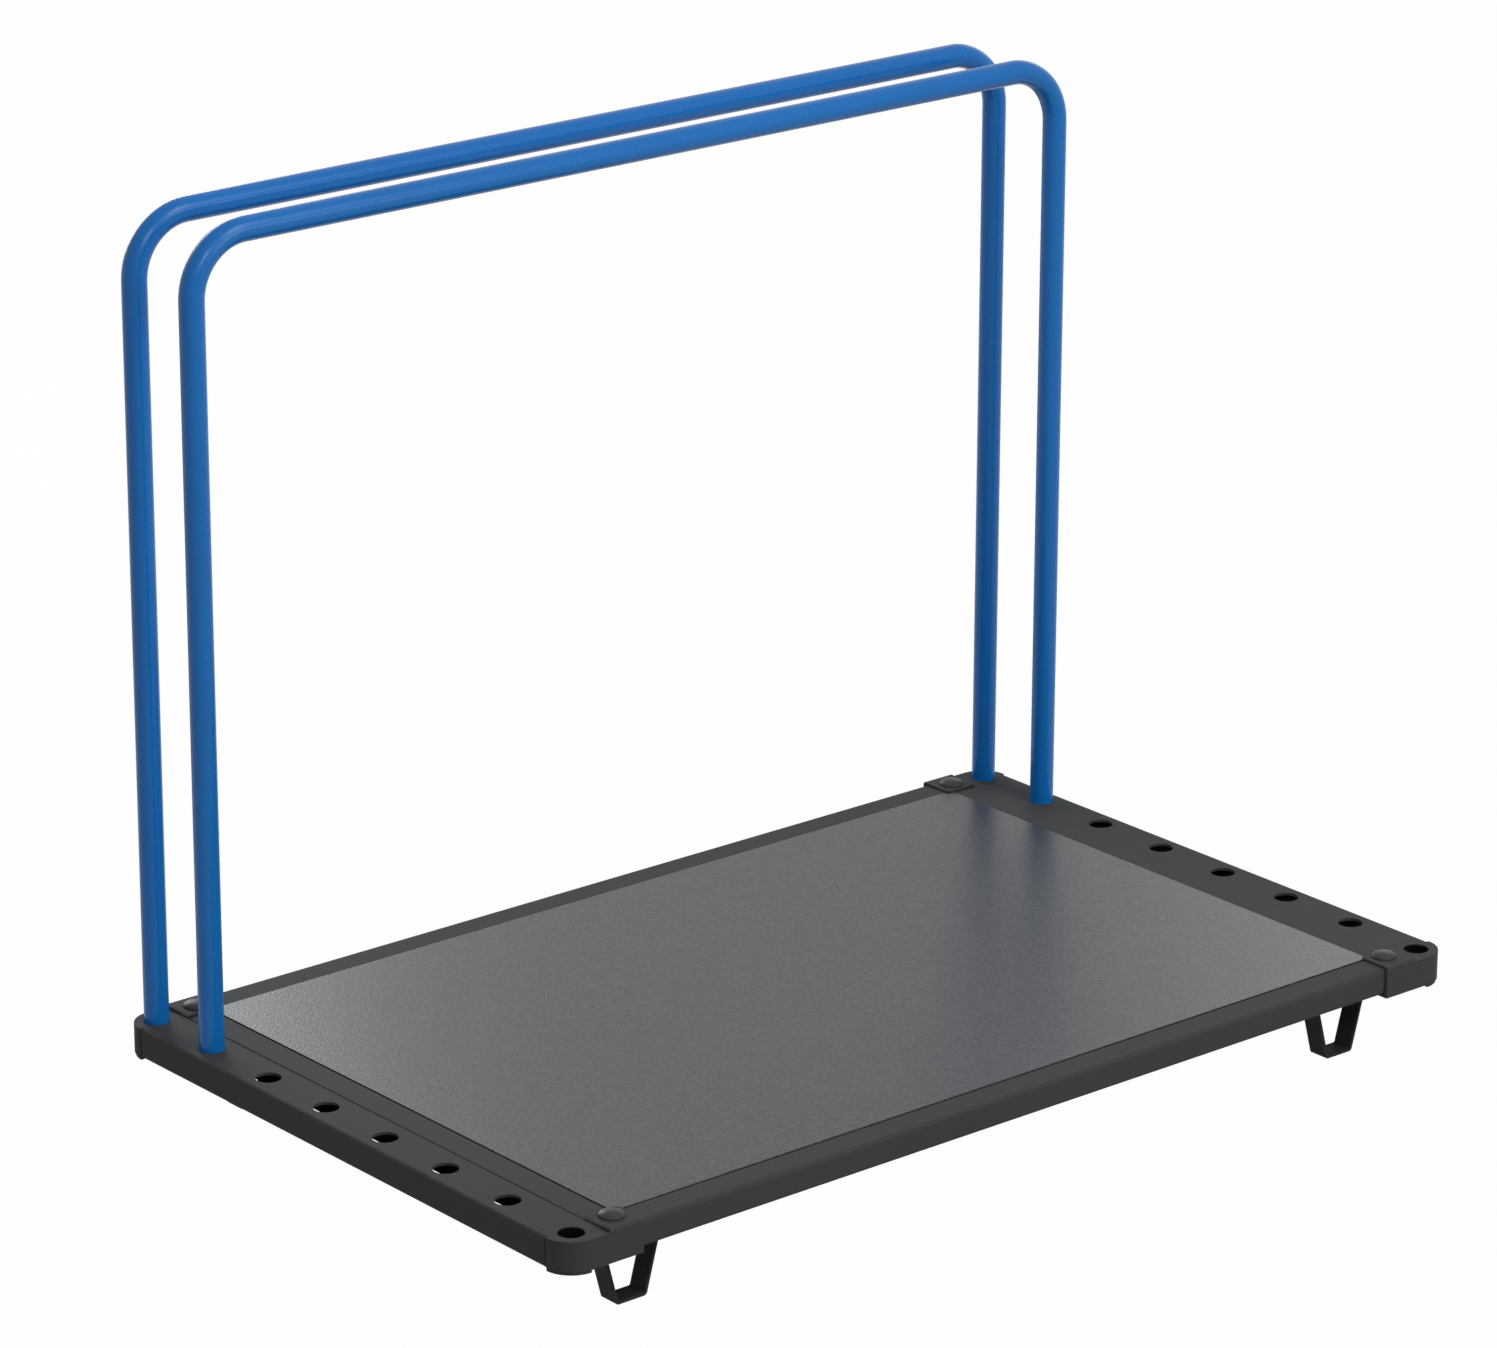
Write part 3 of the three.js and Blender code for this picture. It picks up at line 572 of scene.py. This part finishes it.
def mould_cap(name):
    """The cap of the back right corner."""
    seam, outer_x, outer_y = 555.75 * MM, 611 * MM, 376 * MM
    inner_y, web_end = 328 * MM, 343 * MM
    bottom, top = level(-32.3), level(0)
    corner_radius, arc_x, arc_y = 33 * MM, 578 * MM, 343 * MM
    edge_radius, seam_radius, rim_radius = 2.8 * MM, 3.3 * MM, 0.7 * MM
    socket_rim, lip_radius, lip_side = 0.45 * MM, 31.6 * MM, 343.4 * MM
    past_x, past_y, below, above = 620 * MM, 380 * MM, level(-40), level(5)
    cap = start_box(name, (seam, inner_y, bottom), (outer_x, outer_y, top))
    bpy.ops.object.mode_set(mode="EDIT")
    pick_edges(lambda point: near(point.x, outer_x) and near(point.y, outer_y))
    bpy.ops.mesh.bevel(offset=corner_radius, segments=24, affect="EDGES")

    def on_outer_top(point):
        outside = point.x > arc_x - 0.1 * MM or near(point.y, outer_y)
        return near(point.z, top) and outside and not near(point.y, inner_y)

    pick_edges(on_outer_top)
    bpy.ops.mesh.bevel(offset=edge_radius, segments=5, affect="EDGES", clamp_overlap=True)
    bpy.ops.object.mode_set(mode="OBJECT")
    notch = start_box("notch", (606.7 * MM, 320 * MM, below), (past_x, web_end, above))
    combine(cap, notch, "DIFFERENCE")
    rail_face, lean = 610 * MM, math.radians(7)
    taper = start_box("taper", (rail_face, 330 * MM, below), (630 * MM, 360 * MM, above))
    bpy.ops.transform.rotate(value=lean, orient_axis="Z", center_override=(rail_face, web_end, 0))
    bpy.ops.object.transform_apply(location=True, rotation=True, scale=True)
    combine(cap, taper, "DIFFERENCE")

    lip = start_rod("lip", arc_x, arc_y, level(-35.8), level(-31.5), lip_radius, 96)
    quarter = start_box("quarter", (arc_x, lip_side, level(-38)), (past_x, past_y, level(-31)))
    combine(lip, quarter, "INTERSECT")
    combine(cap, lip, "UNION")

    spigot_low, spigot_high = (557.5 * MM, 300 * MM, level(-29)), (605 * MM, 329 * MM, level(-4.5))
    combine(cap, start_box("spigot", spigot_low, spigot_high), "UNION")

    sleeve_end, pad_edge, pad_corner = 513.75 * MM, 333 * MM, 8 * MM
    pad_top = level(3.6)
    sleeve = start_box("sleeve", (sleeve_end, pad_edge, bottom), (seam, outer_y, pad_top))
    bpy.ops.object.mode_set(mode="EDIT")
    pick_edges(lambda point: near(point.x, sleeve_end) and near(point.y, pad_edge))
    bpy.ops.mesh.bevel(offset=pad_corner, segments=10, affect="EDGES")
    pick_edges(lambda point: near(point.z, pad_top) and near(point.y, outer_y))
    bpy.ops.mesh.bevel(offset=edge_radius, segments=5, affect="EDGES")
    pick_edges(lambda point: near(point.z, pad_top) and near(point.x, seam))
    bpy.ops.mesh.bevel(offset=seam_radius, segments=6, profile=0.36, affect="EDGES")

    def on_rim(point):
        on_top = near(point.z, pad_top) and point.x < sleeve_end + pad_corner + 0.1 * MM
        on_inner_side = near(point.y, pad_edge) and point.z > top
        on_end = near(point.x, sleeve_end) and point.y > pad_edge + pad_corner + MM
        return on_top or on_inner_side or on_end

    pick_edges(on_rim)
    bpy.ops.mesh.bevel(offset=rim_radius, segments=3, affect="EDGES")
    bpy.ops.object.mode_set(mode="OBJECT")
    before_x, before_y = 505 * MM, 325 * MM
    rail_low, rail_high = (before_x, before_y, level(-29.1)), (553.75 * MM, 372.3 * MM, level(1.6))
    combine(sleeve, start_box("rail_room", rail_low, rail_high), "DIFFERENCE")
    deck_low, deck_high = (before_x, before_y, below), (560 * MM, 341 * MM, level(1))
    combine(sleeve, start_box("deck_room", deck_low, deck_high), "DIFFERENCE")
    bridge_low = (554.5 * MM, 342 * MM, level(-31.8))
    bridge_high = (560 * MM, 373 * MM, level(-2.5))
    combine(sleeve, start_box("bridge", bridge_low, bridge_high), "UNION")
    combine(cap, sleeve, "UNION")

    at = (ROW_X, CORNER_SOCKET_Y)
    socket = start_rod("socket", *at, level(-30.5), level(10), SOCKET_RADIUS, 64)
    combine(cap, socket, "DIFFERENCE")
    drill = start_rod("drill", *at, level(-45), level(-20), LOCATING_RADIUS, 32)
    combine(cap, drill, "DIFFERENCE")
    merge_close(cap)
    bpy.ops.object.mode_set(mode="EDIT")

    def on_socket_rim(point):
        reach = math.hypot(point.x - ROW_X, point.y - CORNER_SOCKET_Y)
        return near(point.z, top) and near(reach, SOCKET_RADIUS)

    pick_edges(on_socket_rim)
    bpy.ops.mesh.bevel(offset=socket_rim, segments=2, affect="EDGES")
    bpy.ops.object.mode_set(mode="OBJECT")
    return cap


def mirrored(piece, name, across_x, across_y):
    """A copy with its own mesh, mirrored to another corner."""
    copy = piece.copy()
    copy.data = piece.data.copy()
    copy.name = name
    bpy.context.scene.collection.objects.link(copy)
    work_on(copy)
    copy.scale = (-1 if across_x else 1, -1 if across_y else 1, 1)
    bpy.ops.object.transform_apply(location=False, rotation=False, scale=True)
    bpy.ops.object.mode_set(mode="EDIT")
    bpy.ops.mesh.select_all(action="SELECT")
    bpy.ops.mesh.normals_make_consistent(inside=False)
    bpy.ops.object.mode_set(mode="OBJECT")
    return copy


CORNERS = (
    ("back_right", False, False),
    ("back_left", True, False),
    ("front_right", False, True),
    ("front_left", True, True),
)


def set_corners(piece, label, node, material):
    """Copies a piece of the back right corner to the other three, and fits all four."""
    piece.data.materials.append(material)
    for corner, across_x, across_y in CORNERS:
        fitted = piece
        if corner != "back_right":
            fitted = mirrored(piece, f"{corner}_{label}", across_x, across_y)
        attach(fitted, "base")
        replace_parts(fitted, node.format(corner))
    for corner, _, _ in CORNERS:
        shade_evenly(bpy.data.objects[f"{corner}_{label}"])


set_corners(mould_cap("back_right_cap"), "cap", "corner_cap_{}", cap_moulding)

# Cap bolts and nuts
# A broad dome-headed bolt holds each cap to its side rail, with a plain hexagon nut underneath.
# The heads are coated like the frame, and the nuts are bare zinc-plated steel.
CAP_BOLT_X = 0.534
bolt_coat = coat(
    "bolt_coat",
    color=(0.055, 0.0565, 0.0585, 1),
    roughness=0.30,
    specular=0.055,
    grain_mm=0.8,
    bump_mm=0.015,
)


def turn_cap_bolt(name):
    head_radius, rim, dome = 13.4 * MM, 0.8 * MM, 4.8 * MM
    shank_radius, shank_length = 5 * MM, 44.3 * MM
    under_head = level(3.9)
    bpy.ops.object.select_all(action="DESELECT")
    bpy.ops.mesh.primitive_uv_sphere_add(
        segments=48,
        ring_count=24,
        radius=1,
        location=(CAP_BOLT_X, CORNER_SOCKET_Y, under_head + rim),
        scale=(head_radius, head_radius, dome),
    )
    bpy.ops.object.transform_apply(location=True, rotation=True, scale=True)
    bolt = bpy.context.object
    bolt.name = name
    bpy.ops.object.mode_set(mode="EDIT")
    bpy.ops.mesh.select_all(action="SELECT")
    bpy.ops.mesh.bisect(
        plane_co=(0, 0, under_head + rim),
        plane_no=(0, 0, 1),
        use_fill=True,
        clear_inner=True,
    )
    pick_faces(lambda centre, normal: normal.z < -FACING)
    bpy.ops.mesh.extrude_region_move(TRANSFORM_OT_translate={"value": (0, 0, -rim)})
    bpy.ops.mesh.inset(thickness=head_radius - shank_radius)
    bpy.ops.mesh.extrude_region_move(TRANSFORM_OT_translate={"value": (0, 0, -shank_length)})
    bpy.ops.object.mode_set(mode="OBJECT")
    soften_edges(bolt, width=0.35 * MM)
    return bolt


set_corners(turn_cap_bolt("back_right_cap_bolt"), "cap_bolt", "cap_bolt_{}", bolt_coat)
zinc = coat(
    "zinc_plate",
    color=(0.42, 0.42, 0.41, 1),
    roughness=0.38,
    specular=0.5,
    grain_mm=0.6,
    bump_mm=0.01,
    metallic=1.0,
)


def press_nut(name, x, y, low, high, across_flats, bore):
    nut = start_rod(name, x, y, low, high, across_flats / math.sqrt(3), 6)
    round_radius, chamfer = across_flats * 0.56, 0.9 * MM
    dome = start_rod("chamfer", x, y, low, high, round_radius, 48)
    work_on(dome)
    bpy.ops.object.mode_set(mode="EDIT")
    for end in (low, high):
        pick_edges(lambda point: near(point.z, end))
        bpy.ops.mesh.bevel(offset=chamfer, segments=1, affect="EDGES")
    bpy.ops.object.mode_set(mode="OBJECT")
    combine(nut, dome, "INTERSECT")
    combine(nut, start_rod("bore", x, y, low - MM, high + MM, bore, 32), "DIFFERENCE")
    merge_close(nut)
    soften_edges(nut, width=0.15 * MM)
    return nut


cap_nut = press_nut(
    "back_right_cap_nut",
    CAP_BOLT_X,
    CORNER_SOCKET_Y,
    low=level(-38.6),
    high=level(-32.6),
    across_flats=17 * MM,
    bore=5.3 * MM,
)
set_corners(cap_nut, "cap_nut", "cap_nut_{}", zinc)

# Cross bars
# Three folded channels lie across the frame under the deck and carry it. They open upwards, are
# welded to the side rails, and have a plain black coat. The feet hang from the two outer ones.
# Its edges are painted lighter, partly as wear and partly as a painted highlight.
black_coat = coat(
    "black_coat",
    color=(0.0305, 0.0305, 0.0308, 1),
    roughness=0.6,
    specular=0.05,
    grain_mm=0.9,
    bump_mm=0.03,
    wear_and_highlight_color=(0.055, 0.055, 0.055, 1),
)


def fold_cross_bar(name, left, right):
    bottom, top = level(-28.8), level(-11)
    half_length = 338.9 * MM
    sheet, fold = 2.5 * MM, 3.5 * MM
    bar = start_box(name, (left, -half_length, bottom), (right, half_length, top))
    bpy.ops.object.mode_set(mode="EDIT")
    pick_faces(lambda centre, normal: normal.z > FACING or abs(normal.y) > FACING)
    bpy.ops.mesh.delete(type="FACE")
    for edge in (left, right):
        pick_edges(lambda point: near(point.x, edge) and near(point.z, bottom))
        bpy.ops.mesh.bevel(offset=fold, segments=5, affect="EDGES")
    bpy.ops.object.mode_set(mode="OBJECT")
    apply_modifier(bar, "SOLIDIFY", thickness=sheet, offset=-1, use_even_offset=True)
    soften_edges(bar, width=0.3 * MM)
    shade_evenly(bar)
    bar.data.materials.append(black_coat)
    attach(bar, "base")
    return bar


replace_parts(fold_cross_bar("left_cross_bar", -523.35 * MM, -448.35 * MM), "cross_bar_left")
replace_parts(fold_cross_bar("middle_cross_bar", -37.5 * MM, 37.5 * MM), "cross_bar_middle")
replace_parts(fold_cross_bar("right_cross_bar", 448.35 * MM, 523.35 * MM), "cross_bar_right")

# Deck
# One flat board faced with a dark satin film, finely pebbled, which mirrors the hoops softly.
# It lies on the cross bars, a millimetre clear of the frame, with the caps' pads over its corners.


def film_material():
    material = bpy.data.materials.new("deck_film")
    material.use_nodes = True
    nodes, links = material.node_tree.nodes, material.node_tree.links
    shader = nodes["Principled BSDF"]
    shader.inputs["Specular IOR Level"].default_value = 0.36
    where = nodes.new("ShaderNodeTexCoord")
    pebbles = nodes.new("ShaderNodeTexVoronoi")
    pebbles.feature = "SMOOTH_F1"
    pebbles.inputs["Scale"].default_value = 420
    pebbles.inputs["Smoothness"].default_value = 0.6
    links.new(where.outputs["Object"], pebbles.inputs["Vector"])
    grain = nodes.new("ShaderNodeGroup")
    grain.node_tree = coat_grain
    grain.inputs["Grain Size"].default_value = 2.2 * MM

    tone = nodes.new("ShaderNodeMix")
    tone.data_type = "RGBA"
    tone.inputs["A"].default_value = (0.026, 0.029, 0.0335, 1)
    tone.inputs["B"].default_value = (0.034, 0.0375, 0.043, 1)
    links.new(grain.outputs["Drift"], tone.inputs["Factor"])
    spread = nodes.new("ShaderNodeMapRange")
    spread.inputs["From Min"].default_value = 0.2
    spread.inputs["From Max"].default_value = 0.8
    spread.inputs["To Min"].default_value = 0.55
    spread.inputs["To Max"].default_value = 1.45
    links.new(pebbles.outputs["Color"], spread.inputs["Value"])
    fleck = nodes.new("ShaderNodeVectorMath")
    fleck.operation = "SCALE"
    links.new(tone.outputs["Result"], fleck.inputs[0])
    links.new(spread.outputs[0], fleck.inputs["Scale"])
    links.new(fleck.outputs[0], shader.inputs["Base Color"])

    gloss = nodes.new("ShaderNodeMapRange")
    gloss.inputs["To Min"].default_value = 0.27
    gloss.inputs["To Max"].default_value = 0.38
    links.new(grain.outputs["Grain"], gloss.inputs["Value"])
    links.new(gloss.outputs[0], shader.inputs["Roughness"])
    bump = nodes.new("ShaderNodeBump")
    bump.inputs["Strength"].default_value = 1
    bump.inputs["Distance"].default_value = 0.13 * MM
    links.new(pebbles.outputs["Distance"], bump.inputs["Height"])
    links.new(bump.outputs[0], shader.inputs["Normal"])
    return material


def cut_deck(name):
    half_x, half_y = 522.5 * MM, 338 * MM
    bottom, top = level(-10.7), level(1.3)
    deck = start_box(name, (-half_x, -half_y, bottom), (half_x, half_y, top))
    soften_edges(deck, width=0.7 * MM, segments=3)
    shade_evenly(deck)
    deck.data.materials.append(film_material())
    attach(deck, "base")
    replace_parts(deck, "deck_panel")


cut_deck("deck_board")

# Strap feet
# Each foot is one black steel strap bent into a trapezoid, narrow at the floor. Its turned-in ends
# bolt up under a cross bar.
FOOT_X = 0.492
FOOT_Y = 0.317


def bend_foot(name):
    """The foot of the back right corner. The floor is at zero, so its top is also its height."""
    top = level(-29.1)
    width, sheet, bend_radius = 24 * MM, 3.5 * MM, 4.5 * MM
    base_half, half_gap = 19.2 * MM, 4 * MM
    lean = 0.27 * top
    top_half = base_half + lean
    flange = top_half - half_gap
    bpy.ops.object.select_all(action="DESELECT")
    bpy.ops.mesh.primitive_plane_add(
        size=1,
        location=(FOOT_X - half_gap - flange / 2, FOOT_Y, top),
    )
    foot = bpy.context.object
    foot.name = name
    foot.scale = (flange, width, 1)
    bpy.ops.object.transform_apply(location=True, rotation=True, scale=True)
    bpy.ops.object.mode_set(mode="EDIT")
    pick_edges(lambda point: near(point.x, FOOT_X - top_half))
    for move in ((lean, 0, -top), (2 * base_half, 0, 0), (lean, 0, top), (-flange, 0, 0)):
        bpy.ops.mesh.extrude_region_move(TRANSFORM_OT_translate={"value": move})
    slope = math.atan2(top, lean)
    for corner_half, corner_z, turn in ((top_half, top, math.pi - slope), (base_half, 0, slope)):
        setback = bend_radius * math.tan(turn / 2)
        for side in (-1, 1):
            corner_x = FOOT_X + side * corner_half
            pick_edges(lambda point: near(point.x, corner_x) and near(point.z, corner_z))
            bpy.ops.mesh.bevel(offset=setback, offset_type="OFFSET", segments=6, affect="EDGES")
    bpy.ops.mesh.select_all(action="SELECT")
    bpy.ops.mesh.normals_make_consistent(inside=False)
    bpy.ops.object.mode_set(mode="OBJECT")
    base = min(foot.data.polygons, key=lambda face: face.center.z)
    if base.normal.z > 0:
        bpy.ops.object.mode_set(mode="EDIT")
        bpy.ops.mesh.select_all(action="SELECT")
        bpy.ops.mesh.flip_normals()
        bpy.ops.object.mode_set(mode="OBJECT")
    apply_modifier(foot, "SOLIDIFY", thickness=sheet, offset=-1, use_even_offset=True)
    soften_edges(foot, width=0.45 * MM)
    return foot


set_corners(bend_foot("back_right_foot"), "foot", "foot_{}", black_coat)

# Foot bolts and nuts
# Two hexagon bolts fix each foot, with their heads inside the strap's loop and their nuts in the
# cross bar. They are zinc plated.
FOOT_BOLT_FLATS = 13 * MM


def forge_foot_bolt(name, x):
    head_top, head_height, shank_radius = level(-32.9), 5.3 * MM, 4 * MM
    head_radius = FOOT_BOLT_FLATS / math.sqrt(3)
    bolt = start_rod(name, x, FOOT_Y, head_top - head_height, head_top, head_radius, 6)
    bpy.ops.object.mode_set(mode="EDIT")
    pick_faces(lambda centre, normal: normal.z > FACING)
    bpy.ops.mesh.inset(thickness=0.4 * MM)
    bpy.ops.object.mode_set(mode="OBJECT")
    shank = start_rod("shank", x, FOOT_Y, head_top - MM, level(-18), shank_radius, 32)
    combine(bolt, shank, "UNION")
    soften_edges(bolt, width=0.3 * MM)
    return bolt


for place, offset in (("inner", -18 * MM), ("outer", 18 * MM)):
    bolt_x = FOOT_X + offset
    bolt = forge_foot_bolt(f"back_right_foot_bolt_{place}", bolt_x)
    set_corners(bolt, f"foot_bolt_{place}", "foot_bolt_{}_" + place, zinc)
    nut = press_nut(
        f"back_right_foot_nut_{place}",
        bolt_x,
        FOOT_Y,
        low=level(-26),
        high=level(-19.5),
        across_flats=FOOT_BOLT_FLATS,
        bore=4.3 * MM,
    )
    set_corners(nut, f"foot_nut_{place}", "foot_nut_{}_" + place, zinc)

# Hoops
# Two hoops of 26.7 mm steel tube with 2 mm walls, each bent twice from one length and coated blue.
# They stand loose in the sockets and lift out. The front one is a socket nearer than the back one.
TUBE_RADIUS = 13.35 * MM
BEND_RADIUS = 65 * MM
HOOP_TOP = level(869)
FRONT_HOOP_Y = 0.250
BACK_HOOP_Y = 0.350
blue_coat = coat(
    "blue_coat",
    color=(0.004, 0.146, 0.490, 1),
    roughness=0.26,
    specular=0.25,
    grain_mm=1.1,
    bump_mm=0.015,
)


def bend_hoop(name, y, body):
    tube_end = level(-27.2)
    bend_z = HOOP_TOP - BEND_RADIUS
    bend_x = ROW_X - BEND_RADIUS
    bend, wall = math.radians(90), 2 * MM
    bpy.ops.object.select_all(action="DESELECT")
    bpy.ops.mesh.primitive_circle_add(
        vertices=64, radius=TUBE_RADIUS, fill_type="NOTHING", location=(-ROW_X, y, tube_end)
    )
    bpy.ops.object.transform_apply(location=True, rotation=True, scale=True)
    hoop = bpy.context.object
    hoop.name = name
    bpy.ops.object.mode_set(mode="EDIT")
    bpy.ops.mesh.select_mode(type="VERT")
    bpy.ops.mesh.select_all(action="SELECT")
    bpy.ops.mesh.extrude_region_move(TRANSFORM_OT_translate={"value": (0, 0, bend_z - tube_end)})
    bpy.ops.mesh.spin(steps=28, angle=bend, center=(-bend_x, y, bend_z), axis=(0, -1, 0))
    bpy.ops.mesh.extrude_region_move(TRANSFORM_OT_translate={"value": (2 * bend_x, 0, 0)})
    bpy.ops.mesh.spin(steps=28, angle=bend, center=(bend_x, y, bend_z), axis=(0, -1, 0))
    bpy.ops.mesh.extrude_region_move(TRANSFORM_OT_translate={"value": (0, 0, tube_end - bend_z)})
    bpy.ops.mesh.select_all(action="SELECT")
    bpy.ops.mesh.remove_doubles(threshold=0.01 * MM)
    bpy.ops.mesh.normals_make_consistent(inside=False)
    bpy.ops.object.mode_set(mode="OBJECT")
    apply_modifier(hoop, "SOLIDIFY", thickness=wall, offset=-1)
    bpy.ops.object.shade_smooth_by_angle(angle=math.radians(40))
    hoop.data.materials.append(blue_coat)
    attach(hoop, body)
    return hoop


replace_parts(bend_hoop("front_tube_hoop", FRONT_HOOP_Y, "hoop_front"), "hoop_front")
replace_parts(bend_hoop("back_tube_hoop", BACK_HOOP_Y, "hoop_back"), "hoop_back")

# Leg plugs
# A black moulded plug closes the foot of each hoop leg. Its shoulder stands on the socket's floor
# and its small pin drops into the locating hole. They show only when a hoop is lifted out.
plug_moulding = coat(
    "plug_moulding",
    color=(0.011, 0.011, 0.0115, 1),
    roughness=0.55,
    specular=0.35,
    grain_mm=0.6,
    bump_mm=0.02,
)


def mould_plug(name, x, y, body):
    shoulder, neck_length = 2.3 * MM, 15 * MM
    pin_radius, pin_length = 5 * MM, 4 * MM
    plug = start_rod(name, x, y, level(-30.2), level(-27.5), TUBE_RADIUS, 48)
    bpy.ops.object.mode_set(mode="EDIT")
    pick_faces(lambda centre, normal: normal.z > FACING)
    bpy.ops.mesh.inset(thickness=shoulder)
    bpy.ops.mesh.extrude_region_move(TRANSFORM_OT_translate={"value": (0, 0, neck_length)})
    pick_faces(lambda centre, normal: normal.z < -FACING)
    bpy.ops.mesh.inset(thickness=TUBE_RADIUS - pin_radius)
    bpy.ops.mesh.extrude_region_move(TRANSFORM_OT_translate={"value": (0, 0, -pin_length)})
    bpy.ops.object.mode_set(mode="OBJECT")
    soften_edges(plug, width=0.5 * MM)
    shade_evenly(plug)
    plug.data.materials.append(plug_moulding)
    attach(plug, body)
    return plug


for label, y in (("front", FRONT_HOOP_Y), ("back", BACK_HOOP_Y)):
    for end, side in (("left", -1), ("right", 1)):
        plug = mould_plug(f"{label}_{end}_leg_plug", side * ROW_X, y, f"hoop_{label}")
        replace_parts(plug, f"leg_plug_{label}_{end}")
